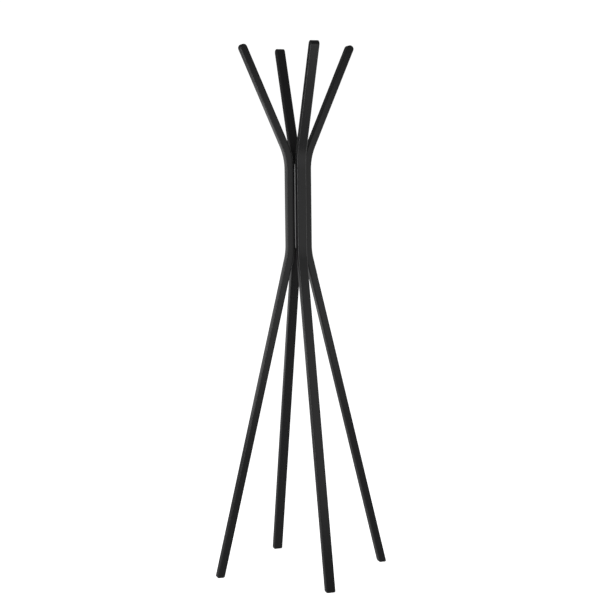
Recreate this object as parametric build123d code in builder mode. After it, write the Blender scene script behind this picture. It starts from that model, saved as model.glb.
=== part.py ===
from build123d import *
import os
from math import cos, radians, sin, tan

# A standing coat rack of bent wood. Four equal posts stand round a square core. Each post is one
# bar: a leg that splays out below, an upright that is glued to one side of the core, and an arm
# that splays out above, where the coats hang. Beech dowels cross the core and locate the posts,
# and a moulded glide is pressed into the end of every leg.
#
# Millimetres, +Z up. The origin is on the floor, on the rack's axis, midway between the feet.
# The front post is on -Y, the right post on +X, the back post on +Y and the left post on -X.

os.makedirs("parts", exist_ok=True)

# The rack
rack_height = 1700
leg_angle = 13.5  # from the vertical, in degrees
arm_angle = 23.4
leg_bend_height = 1040  # where the centre lines of leg and upright would meet
arm_bend_height = 1346
bend_radius = 195  # of the centre line, the same in both bends

# The posts
post_width = 30  # from side to side
post_thickness = 24  # from the face on the core to the outer face
post_edge_radius = 4
foot_edge_radius = 1

# The core
core_side = 34
core_bottom = 1054
core_length = 270
core_corner_chamfer = 4  # planed off each long corner, which shows between two posts
core_end_chamfer = 1

# The dowels, two through the core from left to right and two from front to back
dowel_radius = 5
dowel_depth_in_post = 13
dowel_chamfer = 1
dowel_glue_gap = 0.05  # all round
dowel_end_gap = 1
dowel_middle_height = 1184
left_right_dowel_reach = 95  # above and below the middle height
front_back_dowel_reach = 65

# The glides
glide_thickness = 2.5
glide_inset = 1.5  # from the edge of the foot, all round
glide_corner_radius = 3.5
glide_edge_chamfer = 0.6
stem_radius = 4
stem_length = 14
stem_chamfer = 0.8
stem_bore_gap = 0.05
stem_end_gap = 1

# Worked out from the sizes above
post_offset = core_side / 2 + post_thickness / 2
arm_end_height = rack_height - post_thickness / 2
blank_end_height = -post_thickness  # a post is made overlong, and its foot is sawn level
foot_length = post_thickness / cos(radians(leg_angle))
foot_offset = post_offset + (leg_bend_height - glide_thickness) * tan(radians(leg_angle))
left_right_dowel_heights = [
    dowel_middle_height - left_right_dowel_reach,
    dowel_middle_height + left_right_dowel_reach,
]
front_back_dowel_heights = [
    dowel_middle_height - front_back_dowel_reach,
    dowel_middle_height + front_back_dowel_reach,
]
dowel_length = core_side + 2 * dowel_depth_in_post

# Which way each post leans out, in degrees about +Z from +X, and the dowels that enter it
posts = {
    "right": (0, left_right_dowel_heights),
    "back": (90, front_back_dowel_heights),
    "left": (180, left_right_dowel_heights),
    "front": (270, front_back_dowel_heights),
}


def save(part, name):
    """Labels a finished piece and writes it to its own file."""
    part.label = name
    export_step(part, f"parts/{name}.step")


def outward_direction(heading):
    """The level direction in which a post leans out."""
    return Vector(cos(radians(heading)), sin(radians(heading)), 0)


def post_centre_line(height, bend_height, angle):
    """A point on the centre line of a leg or an arm: the distance out, then the height."""
    return (post_offset + abs(height - bend_height) * tan(radians(angle)), height)


def foot_plane(heading, height):
    """A level plane over the middle of a foot, with its x direction outward."""
    outward = outward_direction(heading)
    return Plane(outward * foot_offset + Vector(0, 0, height), x_dir=outward, z_dir=(0, 0, 1))


def make_post(name, heading, dowel_heights):
    """One bent bar with routed edges, a half-round arm end, a level foot and its blind bores."""
    outward = outward_direction(heading)
    upright_plane = Plane((0, 0, 0), x_dir=outward, z_dir=outward.cross(Vector(0, 0, 1)))
    core_face = Plane(outward * (core_side / 2), x_dir=(0, 0, 1), z_dir=-outward)
    with BuildPart() as post:
        with BuildSketch(upright_plane):
            with BuildLine():
                FilletPolyline(
                    post_centre_line(blank_end_height, leg_bend_height, leg_angle),
                    (post_offset, leg_bend_height),
                    (post_offset, arm_bend_height),
                    post_centre_line(arm_end_height, arm_bend_height, arm_angle),
                    radius=bend_radius,
                )
                # A band about the centre line, with a half round at each end
                offset(amount=post_thickness / 2, kind=Kind.ARC)
            make_face()
        extrude(amount=post_width / 2, both=True)
        side_faces = post.faces().filter_by(Axis((0, 0, 0), upright_plane.z_dir))
        fillet(side_faces.edges(), radius=post_edge_radius)
        split(bisect_by=Plane.XY.offset(glide_thickness), keep=Keep.TOP)
        foot_edges = post.faces().sort_by(Axis.Z)[0].edges()
        fillet(foot_edges, radius=foot_edge_radius)
        with Locations(core_face):
            with Locations(*[(height, 0) for height in dowel_heights]):
                Hole(radius=dowel_radius + dowel_glue_gap, depth=dowel_depth_in_post + dowel_end_gap)
        with Locations(-foot_plane(heading, glide_thickness)):
            Hole(radius=stem_radius + stem_bore_gap, depth=stem_length + stem_end_gap)
    save(post.part, name)


def make_glide(name, heading):
    """A flat moulded pad under one foot, with a round stem that is pressed into the leg."""
    with BuildPart() as glide:
        with BuildSketch(foot_plane(heading, 0)):
            RectangleRounded(
                foot_length - 2 * glide_inset, post_width - 2 * glide_inset, glide_corner_radius
            )
        extrude(amount=glide_thickness)
        chamfer(glide.faces().sort_by(Axis.Z)[0].edges(), length=glide_edge_chamfer)
        with BuildSketch(foot_plane(heading, glide_thickness)):
            Circle(stem_radius)
        extrude(amount=stem_length)
        chamfer(glide.faces().sort_by(Axis.Z)[-1].edges(), length=stem_chamfer)
    save(glide.part, name)


def make_dowels(name, end_plane, heights):
    """The dowels that cross the core in one direction, in one node."""
    with BuildPart() as dowels:
        with BuildSketch(end_plane.offset(-dowel_length / 2)):
            with Locations(*[(0, height) for height in heights]):
                Circle(dowel_radius)
        extrude(amount=dowel_length)
        chamfer(dowels.edges().filter_by(GeomType.CIRCLE), length=dowel_chamfer)
    save(dowels.part, name)


# The core: a square bar with its corners planed off, crossed by the bores of the dowels
with BuildPart() as core:
    with BuildSketch(Plane.XY.offset(core_bottom)) as section:
        Rectangle(core_side, core_side)
        chamfer(section.vertices(), length=core_corner_chamfer)
    extrude(amount=core_length)
    ends = core.faces().filter_by(Axis.Z)
    chamfer(ends.edges(), length=core_end_chamfer)
    with Locations(Plane.YZ):
        with Locations(*[(0, height) for height in left_right_dowel_heights]):
            Hole(radius=dowel_radius + dowel_glue_gap)
    with Locations(Plane.XZ):
        with Locations(*[(0, height) for height in front_back_dowel_heights]):
            Hole(radius=dowel_radius + dowel_glue_gap)
save(core.part, "core")

make_dowels("dowels_left_right", Plane.YZ, left_right_dowel_heights)
make_dowels("dowels_front_back", Plane.XZ, front_back_dowel_heights)

for place, (heading, dowel_heights) in posts.items():
    make_post(f"post_{place}", heading, dowel_heights)
    make_glide(f"glide_{place}", heading)
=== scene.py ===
# %% [markdown]
# # A standing coat rack
# Four bars of bent wood stand round a short core. Each bar is a leg, an upright and an arm in
# one piece. The imported model gives the boxes of all its nodes, so the first step loads it, and
# the pieces below are sized from these boxes.

# %% Load the imported model
from math import cos, pi, radians, sin, tan

import bmesh
import bpy
import numpy as np
from mathutils import Matrix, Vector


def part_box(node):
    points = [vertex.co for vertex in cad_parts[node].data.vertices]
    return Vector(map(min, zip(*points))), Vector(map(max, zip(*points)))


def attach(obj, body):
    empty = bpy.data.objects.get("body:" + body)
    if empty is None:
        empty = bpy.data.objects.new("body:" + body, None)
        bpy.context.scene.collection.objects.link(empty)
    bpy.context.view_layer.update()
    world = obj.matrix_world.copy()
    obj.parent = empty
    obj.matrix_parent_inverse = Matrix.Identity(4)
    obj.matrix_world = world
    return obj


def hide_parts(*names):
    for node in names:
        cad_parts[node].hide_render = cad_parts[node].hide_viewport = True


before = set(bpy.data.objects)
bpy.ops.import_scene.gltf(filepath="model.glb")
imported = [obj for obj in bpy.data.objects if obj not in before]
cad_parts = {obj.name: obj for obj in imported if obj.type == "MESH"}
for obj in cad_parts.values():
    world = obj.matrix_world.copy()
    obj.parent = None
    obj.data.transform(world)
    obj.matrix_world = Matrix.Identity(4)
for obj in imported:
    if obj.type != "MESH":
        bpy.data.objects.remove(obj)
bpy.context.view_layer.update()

print("nodes", sorted(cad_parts))

# %% [markdown]
# ## The camera
# The rack is seen from above its middle, from the left of its front post, through a long lens.
# A constraint could aim the camera at a target. Here it is placed by plain turns and steps
# instead: back from the rack's axis, dipped, rolled, and then turned about that axis, so that a
# change of angle keeps the distance.

# %% Place the camera
camera_turn = radians(17.88)
camera_distance = 4.692
camera_height = 1.323
camera_dip = radians(5.32)
camera_roll = radians(0.65)
camera_shift_aside = 0.0024
lens_mm = 87.64
sensor_mm = 36

camera_data = bpy.data.cameras.new("camera")
camera_data.lens = lens_mm
camera_data.sensor_width = sensor_mm
camera = bpy.data.objects.new("camera", camera_data)
camera.matrix_world = (
    Matrix.Rotation(-camera_turn, 4, "Z")
    @ Matrix.Translation((camera_shift_aside, -camera_distance, camera_height))
    @ Matrix.Rotation(pi / 2 - camera_dip, 4, "X")
    @ Matrix.Rotation(-camera_roll, 4, "Z")
)
bpy.context.scene.collection.objects.link(camera)
bpy.context.scene.camera = camera
print("camera at", [round(value, 3) for value in camera.matrix_world.translation])

# %% [markdown]
# ## The path of a bent bar
# A real bar is steamed or laminated and bent round two forms of the same radius. Going up, its
# heading is steady along the leg, turns evenly through the first bend, is upright, turns again
# and is steady along the arm. So the heading is a broken line over the length, and the path is
# its running sum: sines add up to the way out and cosines to the height. A Bezier curve would be
# quicker to draw, but its bends are not quite round and its length is not known beforehand.

# %% Work out the path
leg_angle = radians(13.5)
arm_angle = radians(23.4)
leg_bend_height = 1.040
arm_bend_height = 1.346
bend_radius = 0.195
post_thickness = 0.024

low_corner, high_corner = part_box("post_right")
core_low, core_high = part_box("core")
post_width = high_corner.y - low_corner.y
foot_height = low_corner.z
post_offset = core_high.x + post_thickness / 2
arm_end_height = high_corner.z - post_thickness / 2
foot_offset = post_offset + (leg_bend_height - foot_height) * tan(leg_angle)

leg_tangent = bend_radius * tan(leg_angle / 2)
arm_tangent = bend_radius * tan(arm_angle / 2)
runs = [
    (leg_bend_height - foot_height) / cos(leg_angle) - leg_tangent,
    bend_radius * leg_angle,
    arm_bend_height - leg_bend_height - leg_tangent - arm_tangent,
    bend_radius * arm_angle,
    (arm_end_height - arm_bend_height) / cos(arm_angle) - arm_tangent,
]
run_ends = np.concatenate([[0.0], np.cumsum(runs)])
bar_length = run_ends[-1]
headings = np.array([-leg_angle, -leg_angle, 0.0, 0.0, arm_angle, arm_angle])

table_start = -post_thickness  # the saw cut at the foot crosses lengths a little below zero
table_points = 40001
table_lengths = np.linspace(table_start, bar_length, table_points)
table_headings = np.interp(table_lengths, run_ends, headings)


def running_sum(values):
    """The trapezium sum of values over the table's lengths, zero where the length is zero."""
    steps = (values[1:] + values[:-1]) / 2 * np.diff(table_lengths)
    total = np.concatenate([[0.0], np.cumsum(steps)])
    return total - np.interp(0.0, table_lengths, total)


table_out = foot_offset + running_sum(np.sin(table_headings))
table_up = foot_height + running_sum(np.cos(table_headings))
print("bar length", round(bar_length, 4), "arm end", round(table_out[-1], 4), round(table_up[-1], 4))


def on_bar(along, through, across):
    """A point of the straight bar, carried onto the bent one: the path's point at that length,
    moved by `through` square to the path and by `across` sideways. Returns out, sideways, up."""
    heading = np.interp(along, run_ends, headings)
    out = np.interp(along, table_lengths, table_out) + through * np.cos(heading)
    up = np.interp(along, table_lengths, table_up) - through * np.sin(heading)
    return np.stack([out, across, up], axis=-1)


# %% [markdown]
# ## The section
# Planed and then routed, the bar is a rectangle with round corners. One function gives half of
# the outline, from the middle of one side round the outer face to the middle of the other, and
# the other half mirrors it. Extra points stand beside each corner arc, so that smooth shading
# keeps the flats flat. A Bevel modifier could round the edges instead, but these points also
# carry a weight that tells the finish where an edge is.

# %% Draw the section
edge_radius = 0.004
arc_steps = 8
face_steps = 4
support = 0.0006  # how far the extra points stand from an arc


def half_outline(half_thickness, half_width, radius):
    """Half of a rectangle with round corners, as (through, across) points with a weight that is
    1 in the middle of a corner arc. It goes from (0, -half_width) to (0, half_width)."""
    turn = np.linspace(0, pi / 2, arc_steps + 1)
    corner_through = half_thickness - radius + radius * np.sin(turn)
    corner_across = -(half_width - radius) - radius * np.cos(turn)
    corner_edge = np.sin(2 * turn)
    side_through = np.array([0.0, (half_thickness - radius) / 2, half_thickness - radius - support])
    side_across = np.full_like(side_through, -half_width)
    face_end = half_width - radius - support
    face_across = np.linspace(-face_end, face_end, face_steps + 1)
    face_through = np.full_like(face_across, half_thickness)
    through = np.concatenate(
        [side_through, corner_through, face_through, corner_through[::-1], side_through[::-1]]
    )
    across = np.concatenate(
        [side_across, corner_across, face_across, -corner_across[::-1], -side_across[::-1]]
    )
    flat_side = np.zeros_like(side_through)
    flat_face = np.zeros_like(face_across)
    edge = np.concatenate([flat_side, corner_edge, flat_face, corner_edge[::-1], flat_side])
    return through, across, edge


def whole_outline(half_thickness, half_width, radius):
    """The half outline and its mirror image, as one closed ring."""
    through, across, edge = half_outline(half_thickness, half_width, radius)
    back = slice(-2, 0, -1)
    return (
        np.concatenate([through, -through[back]]),
        np.concatenate([across, across[back]]),
        np.concatenate([edge, edge[back]]),
    )


half_thickness = post_thickness / 2
half_width = post_width / 2
ring_through, ring_across, ring_edge = whole_outline(half_thickness, half_width, edge_radius)
ring_size = len(ring_through)
print("points in a ring", ring_size)

# %% [markdown]
# ## From grids to a mesh
# Every shape below is one or more grids of points. A grid becomes quads between neighbouring
# rows, points in the same place are merged, which closes seams and poles, and the faces are then
# turned outwards. Faces could be added one at a time, but whole arrays are shorter and faster.
# The straight bar's own coordinates travel with each point as an attribute, so that the wood's
# grain can follow the bends.

# %% Fill a grid with faces


def grid_faces(rows, columns, closed):
    """Quads between the rows of a grid, and across the join of a closed ring."""
    last = columns if closed else columns - 1
    row, column = np.meshgrid(np.arange(rows - 1), np.arange(last), indexing="ij")
    here = row * columns + column
    beside = row * columns + (column + 1) % columns
    return np.stack([here, beside, beside + columns, here + columns], axis=-1).reshape(-1, 4)


# %% Turn grids into a mesh
merge_distance = 1e-6
cubic_cm = 1e6  # in a cubic metre


def print_shape(name, shape):
    """Prints a BMesh's faces and volume, and how many of its edges don't join two faces."""
    volume = round(shape.calc_volume(signed=True) * cubic_cm, 1)
    open_edges = sum(not edge.is_manifold for edge in shape.edges)
    print(name, "faces", len(shape.faces), "volume cm3", volume, "open edges", open_edges)


def mesh_from_grids(name, grids, caps):
    """One closed mesh. Each grid is (points, grain, edge, closed): places, the straight bar's
    coordinates and the edge weight, all as rows of columns. A cap fills a grid's end row."""
    points = []
    grain = []
    edge = []
    faces = []
    start = 0
    for place, bar_place, edge_weight, closed in grids:
        rows, columns = place.shape[:2]
        points.append(place.reshape(-1, 3))
        grain.append(bar_place.reshape(-1, 3))
        edge.append(edge_weight.reshape(-1))
        faces.extend((grid_faces(rows, columns, closed) + start).tolist())
        start += rows * columns
    faces.extend(caps)
    mesh = bpy.data.meshes.new(name)
    mesh.from_pydata(np.concatenate(points), [], faces)
    grain_attribute = mesh.attributes.new("grain", "FLOAT_VECTOR", "POINT")
    grain_attribute.data.foreach_set("vector", np.concatenate(grain).astype(np.float32).ravel())
    edge_attribute = mesh.attributes.new("edge", "FLOAT", "POINT")
    edge_attribute.data.foreach_set("value", np.concatenate(edge).astype(np.float32))
    shape = bmesh.new()
    shape.from_mesh(mesh)
    bmesh.ops.remove_doubles(shape, verts=shape.verts, dist=merge_distance)
    bmesh.ops.recalc_face_normals(shape, faces=shape.faces)
    print_shape(name, shape)
    shape.to_mesh(mesh)
    shape.free()
    mesh.shade_smooth()
    return mesh


# %% Put a piece in the scene


def add_piece(name, mesh, node):
    """Puts a finished mesh in the scene in place of a CAD node."""
    piece = bpy.data.objects.new(name, mesh)
    bpy.context.scene.collection.objects.link(piece)
    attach(piece, "root")
    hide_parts(node)
    return piece


# %% [markdown]
# ## Drilling
# Beech dowels run through the core into the posts, and each glide has a stem in its leg, so the
# real bars are drilled after bending. A closed cylinder, a little wider than the dowel, is taken
# out of the shape by a Boolean modifier whose result is kept. Working the holes into the grids
# would spoil their even rows. The rims are then marked sharp, so that the flat faces round them
# still shade flat.

# %% Make the bits
bore_steps = 48
bore_gap = 0.00005
bore_end_gap = 0.001
stem_radius = 0.004


def drill_bits(name, centres, direction, radius, half_length):
    """Closed cylinders that run the same way. A circle is its centre plus the radius times the
    cosine and the sine of the turn, and stands at each end of the length."""
    turn = np.linspace(0, 2 * pi, bore_steps, endpoint=False)[:, None]
    circle = radius * (np.cos(turn) * np.roll(direction, 1) + np.sin(turn) * np.roll(direction, 2))
    ends = np.array([-half_length, half_length])[:, None, None] * np.array(direction)
    grids = []
    caps = []
    for place in [np.array(centre) + ends + circle for centre in centres]:
        start = len(grids) * 2 * bore_steps
        grids.append((place, place, np.zeros(place.shape[:2]), True))
        caps.append(list(range(start, start + bore_steps)))
        caps.append(list(range(start + bore_steps, start + 2 * bore_steps)))
    return mesh_from_grids(name, grids, caps)


def dowel_bits(node, direction):
    """Bits for the two dowels of a node, one at the bottom of its box and one at the top."""
    low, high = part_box(node)
    radius = min(high.x - low.x, high.y - low.y) / 2
    centres = [(0, 0, low.z + radius), (0, 0, high.z - radius)]
    reach = max(high.x, high.y) + bore_end_gap
    return drill_bits(f"{node}_bits", centres, direction, radius + bore_gap, reach)


def stem_bit(place):
    """The bit for a glide's stem, from a little under the foot to just past the stem's end."""
    low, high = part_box(f"glide_{place}")
    bottom, top = low.z, high.z + bore_end_gap
    centre = ((low.x + high.x) / 2, (low.y + high.y) / 2, (bottom + top) / 2)
    reach = (top - bottom) / 2
    return drill_bits(f"stem_bit_{place}", [centre], (0, 0, 1), stem_radius + bore_gap, reach)


left_right_bits = dowel_bits("dowels_left_right", (1, 0, 0))
front_back_bits = dowel_bits("dowels_front_back", (0, 1, 0))

# %% Drill a mesh
rim_merge_distance = 1e-5  # a rim can leave points that almost touch a grid's line
sharp_angle = radians(40)


def drilled(mesh, *bits):
    """The mesh with the shape of every bit taken out of it."""
    blank = bpy.data.objects.new(mesh.name, mesh)
    drills = [bpy.data.objects.new(bit.name, bit) for bit in bits]
    for used in [blank, *drills]:
        bpy.context.scene.collection.objects.link(used)
    for drill in drills:
        bore = blank.modifiers.new(drill.name, "BOOLEAN")
        bore.operation = "DIFFERENCE"
        bore.solver = "EXACT"
        bore.object = drill
    depsgraph = bpy.context.evaluated_depsgraph_get()
    result = bpy.data.meshes.new_from_object(blank.evaluated_get(depsgraph))
    for used in [blank, *drills]:
        bpy.data.objects.remove(used)
    shape = bmesh.new()
    shape.from_mesh(result)
    bmesh.ops.remove_doubles(shape, verts=shape.verts, dist=rim_merge_distance)
    print_shape(f"{mesh.name} drilled", shape)
    shape.to_mesh(result)
    shape.free()
    result.set_sharp_from_angle(angle=sharp_angle)
    return result


# %% [markdown]
# ## The four posts
# The section is carried along the path. The foot is sawn level, so each line of the leg starts
# where it meets the level of the saw cut, and its rim is eased. The arm's end is a half round:
# half of the outline is swung through half a turn about the line across the bar's middle. A
# bevelled curve would give the long faces alone, with neither the level cut nor the round end.

# %% Shape one bar
foot_ease = 0.001
ease_steps = 4
swing_steps = 24
stations_per_run = [70, 16, 16, 22, 28]  # leg, low bend, upright, high bend and arm


def eased_ring(turn):
    """The outline pulled in as it goes round an eased rim: inset follows one minus the cosine."""
    inset = foot_ease * (1 - cos(turn))
    return whole_outline(half_thickness - inset, half_width - inset, edge_radius - inset)


def bar_grids():
    """The grids of one bar: rings from the foot to the arm's end, and the half-round end."""
    foot_slope = -tan(leg_angle)
    rows_along = []
    rows_through = []
    rows_across = []
    for turn in np.linspace(pi / 2, 0, ease_steps + 1):
        through, across, _ = eased_ring(turn)
        level = foot_ease * (1 - sin(turn))
        rows_through.append(through)
        rows_across.append(across)
        rows_along.append(level / cos(leg_angle) + foot_slope * through)
    leg_start = rows_along[-1]
    for share in np.linspace(0, 1, stations_per_run[0] + 1)[1:]:
        rows_along.append(leg_start * (1 - share) + run_ends[1] * share)
    for start, end, steps in zip(run_ends[1:-1], run_ends[2:], stations_per_run[1:]):
        for along in np.linspace(start, end, steps + 1)[1:]:
            rows_along.append(np.full(ring_size, along))
    plain_rows = len(rows_along) - len(rows_through)
    rows_through.extend([ring_through] * plain_rows)
    rows_across.extend([ring_across] * plain_rows)
    along = np.array(rows_along)
    through = np.array(rows_through)
    across = np.array(rows_across)
    edge = np.broadcast_to(ring_edge, along.shape)
    bar = (on_bar(along, through, across), np.stack([through, across, along], -1), edge, True)

    end_through, end_across, end_edge = half_outline(half_thickness, half_width, edge_radius)
    swing = np.linspace(0, pi, swing_steps + 1)[:, None]
    through = end_through * np.cos(swing)
    beyond = end_through * np.sin(swing)
    across = np.broadcast_to(end_across, through.shape)
    end_point = on_bar(bar_length, through, across)
    beyond_direction = np.array([sin(arm_angle), 0.0, cos(arm_angle)])
    place = end_point + beyond[..., None] * beyond_direction
    end_place = np.stack([through, across, bar_length + beyond], -1)
    end = (place, end_place, np.broadcast_to(end_edge, through.shape), False)
    return [bar, end]


# %% [markdown]
# The four bars are the same shape, turned by a right angle each. A copied object could be turned
# instead, but a finished piece has its place in its mesh. Each one's grain coordinates are moved
# on by a few metres, as if it came from another plank.

# %% Make the four posts
post_turns = {"right": 0, "back": 90, "left": 180, "front": 270}
plank_step = 3.0
posts = {}
grids = bar_grids()
sole = [list(range(ring_size))]
for plank, (place, degrees) in enumerate(post_turns.items()):
    turn = radians(degrees)
    spin = np.array([[cos(turn), -sin(turn), 0], [sin(turn), cos(turn), 0], [0, 0, 1]])
    plank_shift = np.array([0, 0, plank * plank_step])
    turned = [
        (points @ spin.T, grain + plank_shift, edge, closed) for points, grain, edge, closed in grids
    ]
    bar = mesh_from_grids(f"bent_post_{place}", turned, sole)
    bits = left_right_bits if place in ("left", "right") else front_back_bits
    mesh = drilled(bar, bits, stem_bit(place))
    posts[place] = add_piece(f"bent_post_{place}", mesh, f"post_{place}")

# %% [markdown]
# ## The core
# A short square bar of the same wood fills the space between the uprights. Its long corners are
# planed off, and those narrow flats are nearly all that shows of it, in the grooves between the
# posts. A box with two Bevel modifiers would come close, but an outline keeps the planed width
# exact. The section is eight straight sides. Each corner arc's centre is where two neighbouring
# sides would meet if both were moved in by the arc's radius, so one formula gives all eight.

# %% Make the core
corner_planing = 0.004
corner_softness = 0.0012
end_ease = 0.001
core_half = core_high.x
core_levels = 12
corner_steps = 6
core_sides = 8
side_numbers = np.arange(core_sides + 1)
corner_turn = 2 * pi / core_sides
side_angles = side_numbers * corner_turn
planed_distance = (2 * core_half - corner_planing) / 2**0.5
side_distances = np.where(side_numbers % 2 == 0, core_half, planed_distance)


def core_ring(inset):
    """The eight-sided outline with every side moved in by `inset`, as rows of x, y and edge."""
    radius = corner_softness - inset
    first, second = side_angles[:-1, None], side_angles[1:, None]
    near = side_distances[:-1, None] - corner_softness
    far = side_distances[1:, None] - corner_softness
    centre_x = (near * np.sin(second) - far * np.sin(first)) / sin(corner_turn)
    centre_y = (far * np.cos(first) - near * np.cos(second)) / sin(corner_turn)
    turn = np.linspace(0, 1, corner_steps + 1)
    angle = first + turn * (second - first)
    x = centre_x + radius * np.cos(angle)
    y = centre_y + radius * np.sin(angle)
    along_x, along_y = -np.sin(first) * support, np.cos(first) * support
    before = (x[:, :1] - along_x, y[:, :1] - along_y)
    along_x, along_y = -np.sin(second) * support, np.cos(second) * support
    after = (x[:, -1:] + along_x, y[:, -1:] + along_y)
    edge = np.sin(turn * pi) + np.zeros_like(x)
    flat = np.zeros_like(first)
    rows = [(before[0], x, after[0]), (before[1], y, after[1]), (flat, edge, flat)]
    return [np.concatenate(row, axis=1).ravel() for row in rows]


# %% Stack the core's rings and drill it
ease_turns = np.linspace(pi / 2, 0, ease_steps + 1)
eased = [(end_ease * (1 - sin(turn)), end_ease * (1 - cos(turn))) for turn in ease_turns]
low_levels = [(core_low.z + rise, inset) for rise, inset in eased]
high_levels = [(core_high.z - rise, inset) for rise, inset in eased[::-1]]
middle = np.linspace(core_low.z + end_ease, core_high.z - end_ease, core_levels + 1)[1:-1]
levels = low_levels + [(level, 0.0) for level in middle] + high_levels
core_x, core_y, core_edge = np.array([core_ring(inset) for _, inset in levels]).transpose(1, 0, 2)
core_z = np.broadcast_to(np.array([level for level, _ in levels])[:, None], core_x.shape)
core_points = np.stack([core_x, core_y, core_z], -1)
core_grain = core_points + np.array([0, 0, len(post_turns) * plank_step])
core_ring_size = core_x.shape[1]
top_start = (len(levels) - 1) * core_ring_size
core_caps = [list(range(core_ring_size)), list(range(top_start, top_start + core_ring_size))]
core_blank = mesh_from_grids("core_bar", [(core_points, core_grain, core_edge, True)], core_caps)
core_mesh = drilled(core_blank, left_right_bits, front_back_bits)
core_piece = add_piece("core_bar", core_mesh, "core")

# %% [markdown]
# ## Writing shader maths
# Every finish below is a tree of nodes. Wiring them by hand in the editor shows each step, but a
# sum of five terms is easier to read as Python. So a `Field` is a socket that takes part in
# Python sums, and a `Finish` is the tree that they are made in.

# %% A socket that can be added and multiplied


class Field:
    """A number that varies over a surface. Sums on it become Math nodes."""

    def __init__(self, finish, socket):
        self.finish = finish
        self.socket = socket

    def maths(self, operation, first, second):
        """One Math node on two values, either of which may be a plain number."""
        return self.finish.node("ShaderNodeMath", {"operation": operation}, {0: first, 1: second})

    def __add__(self, other):
        return self.maths("ADD", self, other)

    def __radd__(self, other):
        return self.maths("ADD", other, self)

    def __mul__(self, other):
        return self.maths("MULTIPLY", self, other)

    def __rmul__(self, other):
        return self.maths("MULTIPLY", other, self)


# %% A tree of nodes


class Finish:
    """The node tree of a material or a world. `node` makes any node and gives back one of its
    outputs as a Field. A ramp's stops are (position, grey value) pairs."""

    def __init__(self, owner):
        self.owner = owner
        owner.use_nodes = True
        self.tree = owner.node_tree
        self.tree.nodes.clear()

    def node(self, kind, settings, sockets, output=0):
        """Makes a node of one type: its settings first, then its sockets' values or links."""
        made = self.tree.nodes.new(kind)
        for setting, value in settings.items():
            if setting == "stops":
                ramp = made.color_ramp
                for position, _ in value[2:]:
                    ramp.elements.new(position)
                for stop, (position, grey) in zip(ramp.elements, sorted(value)):
                    stop.position = position
                    stop.color = (grey, grey, grey, 1)
            else:
                setattr(made, setting, value)
        for socket, value in sockets.items():
            if isinstance(value, Field):
                self.tree.links.new(value.socket, made.inputs[socket])
            else:
                made.inputs[socket].default_value = value
        return Field(self, made.outputs[output]) if made.outputs else None

    def noise(self, place, scale, detail, roughness=0.5):
        """Smooth noise from 0 to 1."""
        sockets = {"Vector": place, "Scale": scale, "Detail": detail, "Roughness": roughness}
        return self.node("ShaderNodeTexNoise", {}, sockets)

    def stretched(self, place, scale):
        """The same place, counted in features along each axis."""
        return self.node("ShaderNodeMapping", {}, {"Vector": place, "Scale": scale})

    def between(self, value, low, high):
        """0 below low, 1 above high, and an eased step from one to the other."""
        return self.node(
            "ShaderNodeMapRange", {"interpolation_type": "SMOOTHSTEP"}, {0: value, 1: low, 2: high}
        )

    def blend(self, amount, first, second):
        """A mix of two colours, whose sockets on the Mix node are 6 and 7."""
        return self.node("ShaderNodeMix", {"data_type": "RGBA"}, {0: amount, 6: first, 7: second}, 2)

    def bump(self, height, distance, normal=None):
        """Relief of a given depth in metres, laid over another bump where one is given."""
        sockets = {"Height": height, "Distance": distance}
        if normal:
            sockets["Normal"] = normal
        return self.node("ShaderNodeBump", {}, sockets)

    def surface(self, sockets):
        """The shader and the output that end a material."""
        shader = self.node("ShaderNodeBsdfPrincipled", {}, sockets)
        self.node("ShaderNodeOutputMaterial", {}, {"Surface": shader})
        return self.owner


# %% [markdown]
# ## Satin black lacquer
# Two thin coats over close-grained wood: the pores telegraph as faint streaks along the bar, the
# sprayed coat has a fine peel, hands and hangers polish it unevenly, and a few edges are rubbed. A
# painted texture would need the bar unwrapped. Here noise is read from the straight bar's own
# coordinates, stretched along its length, so the grain turns with each bend.

# %% Mix the lacquer
pore_scale = (900, 900, 22)  # features in a metre across, across and along the bar
streak_scale = (260, 260, 5)
peel_scale = 420.0
handling_scale = 14.0
rub_scale = 160.0
deep_black = (0.0058, 0.0058, 0.0062, 1)
handled_black = (0.0086, 0.0086, 0.0091, 1)
rubbed_black = (0.030, 0.027, 0.025, 1)
grain_relief = 0.00003
peel_relief = 0.00002
lacquer_ior = 1.45


def black_lacquer():
    """Noise for pores, streaks, peel and handling, and rubbing that gathers on the edges."""
    lacquer = Finish(bpy.data.materials.new("black_lacquer"))
    place = lacquer.node("ShaderNodeAttribute", {"attribute_name": "grain"}, {}, 1)
    edge = lacquer.node("ShaderNodeAttribute", {"attribute_name": "edge"}, {}, 2)
    pores = lacquer.noise(lacquer.stretched(place, pore_scale), 1.0, 3.0)
    streaks = lacquer.noise(lacquer.stretched(place, streak_scale), 1.0, 2.0)
    peel = lacquer.noise(place, peel_scale, 1.0)
    handling = lacquer.noise(place, handling_scale, 3.0)
    rub = lacquer.between(lacquer.noise(place, rub_scale, 4.0, 0.6) + edge * 0.16, 0.74, 0.84)
    tone = lacquer.blend(handling, deep_black, handled_black)
    colour = lacquer.blend(rub * edge, tone, rubbed_black)
    roughness = 0.24 + handling * 0.08 + pores * 0.05 + rub * 0.04
    grain_bump = lacquer.bump(pores + streaks * 0.8, grain_relief)
    peel_bump = lacquer.bump(peel, peel_relief, grain_bump)
    return lacquer.surface(
        {"Base Color": colour, "Roughness": roughness, "Normal": peel_bump, "IOR": lacquer_ior}
    )


lacquer_material = black_lacquer()
for piece in [*posts.values(), core_piece]:
    piece.data.materials.append(lacquer_material)
print("lacquer nodes", len(lacquer_material.node_tree.nodes))

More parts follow.
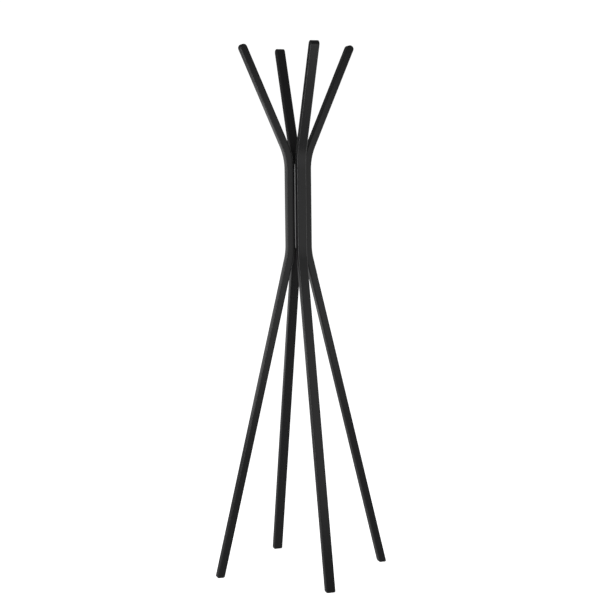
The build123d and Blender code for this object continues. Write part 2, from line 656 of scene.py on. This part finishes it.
# %% [markdown]
# ## Beech and moulded plastic
# The dowels are bare beech with short flecks along their length. The glides are plastic from a
# spark-textured mould: an even, fine matt surface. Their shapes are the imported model's own, which
# carries no attributes, so both finishes read Object coordinates.

# %% Mix the beech
beech_light = (0.72, 0.54, 0.36, 1)
beech_dark = (0.52, 0.36, 0.22, 1)
beech_fleck = (0.42, 0.27, 0.16, 1)
fleck_relief = 0.00005
band_share = 0.12  # the bands are this much coarser than the flecks


def beech(name, fleck_scale):
    """Noise stretched along the dowel for its flecks, and the same, coarser, for its bands."""
    wood = Finish(bpy.data.materials.new(name))
    place = wood.node("ShaderNodeTexCoord", {}, {}, 3)
    flecks = wood.noise(wood.stretched(place, fleck_scale), 1.0, 3.0)
    band_scale = [value * band_share for value in fleck_scale]
    bands = wood.noise(wood.stretched(place, band_scale), 1.0, 2.0)
    tone = wood.blend(bands, beech_dark, beech_light)
    colour = wood.blend(wood.between(flecks, 0.55, 0.75), tone, beech_fleck)
    roughness = 0.55 + flecks * 0.15
    relief = wood.bump(flecks, fleck_relief)
    return wood.surface({"Base Color": colour, "Roughness": roughness, "Normal": relief})


# %% Mix the plastic
spark_scale = 2600.0
scuff_scale = 120.0
plastic_dark = (0.018, 0.018, 0.018, 1)
plastic_scuffed = (0.032, 0.032, 0.033, 1)
spark_relief = 0.00004


def glide_plastic():
    """Fine noise for the mould's texture, and coarser noise for scuffs."""
    plastic = Finish(bpy.data.materials.new("glide_plastic"))
    place = plastic.node("ShaderNodeTexCoord", {}, {}, 3)
    spark = plastic.noise(place, spark_scale, 2.0)
    scuff = plastic.noise(place, scuff_scale, 3.0)
    colour = plastic.blend(scuff, plastic_dark, plastic_scuffed)
    roughness = 0.52 + scuff * 0.14
    relief = plastic.bump(spark, spark_relief)
    return plastic.surface({"Base Color": colour, "Roughness": roughness, "Normal": relief})


# %% Finish the dowels and the glides


def set_material(node, material):
    """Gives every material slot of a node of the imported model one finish."""
    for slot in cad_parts[node].material_slots:
        slot.material = material


set_material("dowels_left_right", beech("beech_left_right", (150, 2200, 2200)))
set_material("dowels_front_back", beech("beech_front_back", (2200, 150, 2200)))
glide_material = glide_plastic()
for place in post_turns:
    set_material(f"glide_{place}", glide_material)
print("finishes", sorted(material.name for material in bpy.data.materials if material.use_nodes))

# %% [markdown]
# ## The floor
# A plain white floor that gives off its own light, so that it stays white right up to the feet
# and takes no shadow. It is kept out of reflections, because the black lacquer would show it as a
# bright band. A large sheet with lights above would need far more light to look as even.

# %% Lay the floor
floor_reach = 12.0
floor_finish = Finish(bpy.data.materials.new("floor_white"))
floor_material = floor_finish.surface(
    {
        "Base Color": (0.86, 0.86, 0.86, 1),
        "Roughness": 0.9,
        "Emission Color": (1, 1, 1, 1),
        "Emission Strength": 1.0,
    }
)
floor_mesh = bpy.data.meshes.new("floor")
corners = np.array([(-1, -1), (1, -1), (1, 1), (-1, 1)]) * floor_reach
floor_mesh.from_pydata(np.column_stack([corners, np.zeros(4)]), [], [(0, 1, 2, 3)])
floor_mesh.materials.append(floor_material)
floor = bpy.data.objects.new("floor", floor_mesh)
floor.visible_glossy = False
bpy.context.scene.collection.objects.link(floor)
print("floor side m", 2 * floor_reach)

# %% [markdown]
# ## The room
# Black lacquer is seen almost wholly by what it reflects, so the room matters more than its
# colour. The room is dim at eye level, paler below and overhead, with pale walls on two opposite
# sides. It is a world of nodes rather than a picture of a studio, so each part of it can be set
# alone. Seen directly, the room is plain white.

# %% Light the room
side_degrees = 108
side_glow = 0.35
wall_glow = 1.05
# (height, glow): 0 is straight down, 0.5 is eye level and 1 is straight up
room_glow = [(0.0, 0.20), (1.0, 0.24), (0.42, 0.28), (0.50, 0.08), (0.62, 0.08)]

world = bpy.data.worlds.new("studio")
bpy.context.scene.world = world
studio = Finish(world)
direction = studio.node("ShaderNodeTexCoord", {}, {})
height = studio.node("ShaderNodeSeparateXYZ", {}, {0: direction}, 2)
room = studio.node("ShaderNodeValToRGB", {"stops": room_glow}, {0: height * 0.5 + 0.5})
towards_side = (sin(radians(side_degrees)), -cos(radians(side_degrees)), 0)
sideways = studio.node(
    "ShaderNodeVectorMath", {"operation": "DOT_PRODUCT"}, {0: direction, 1: towards_side}, 1
)
dim_room = studio.node("ShaderNodeBackground", {}, {"Color": room, "Strength": 1.0})
side_walls = studio.node("ShaderNodeBackground", {}, {"Strength": sideways * sideways * side_glow})
around = studio.node("ShaderNodeAddShader", {}, {0: dim_room, 1: side_walls})
white_wall = studio.node("ShaderNodeBackground", {}, {"Color": (1, 1, 1, 1), "Strength": wall_glow})
seen_directly = studio.node("ShaderNodeLightPath", {}, {})
either = studio.node("ShaderNodeMixShader", {}, {0: seen_directly, 1: around, 2: white_wall})
studio.node("ShaderNodeOutputWorld", {}, {"Surface": either})
bpy.context.scene.view_settings.view_transform = "Standard"
print("room nodes", len(world.node_tree.nodes))

# %% [markdown]
# ## The softboxes
# Four softboxes stand round the rack. A flat face of lacquer mirrors one small patch of the
# studio, so each box's height and width decide which stretch of which face is lit. The front and
# back boxes are near, so that legs, uprights and arms, which lean differently, meet different
# heights of them. The left box is narrow and strong: it lights the planed corner of the core.

# %% Set up the softboxes


def softbox(name, degrees, distance, width, low, high, glow):
    """A rectangle of even light that faces the axis from `degrees` round it, where 0 is in front
    and 90 on the right. Its power is its glow times its area times pi."""
    light = bpy.data.lights.new(name, "AREA")
    light.shape = "RECTANGLE"
    light.size = width
    light.size_y = high - low
    light.energy = glow * width * (high - low) * pi
    lamp = bpy.data.objects.new(name, light)
    lamp.matrix_world = (
        Matrix.Rotation(radians(degrees), 4, "Z")
        @ Matrix.Translation((0, -distance, (low + high) / 2))
        @ Matrix.Rotation(pi / 2, 4, "X")
    )
    lamp.visible_camera = False
    bpy.context.scene.collection.objects.link(lamp)
    print(name, "power W", round(light.energy, 2))


softbox("front_softbox", degrees=18, distance=1.5, width=1.5, low=0.42, high=1.66, glow=0.62)
softbox("right_softbox", degrees=108, distance=1.9, width=1.9, low=0.40, high=1.70, glow=0.60)
softbox("back_softbox", degrees=-162, distance=1.2, width=1.2, low=0.45, high=1.36, glow=0.40)
softbox("left_softbox", degrees=-72, distance=1.9, width=0.7, low=0.50, high=1.70, glow=4.80)
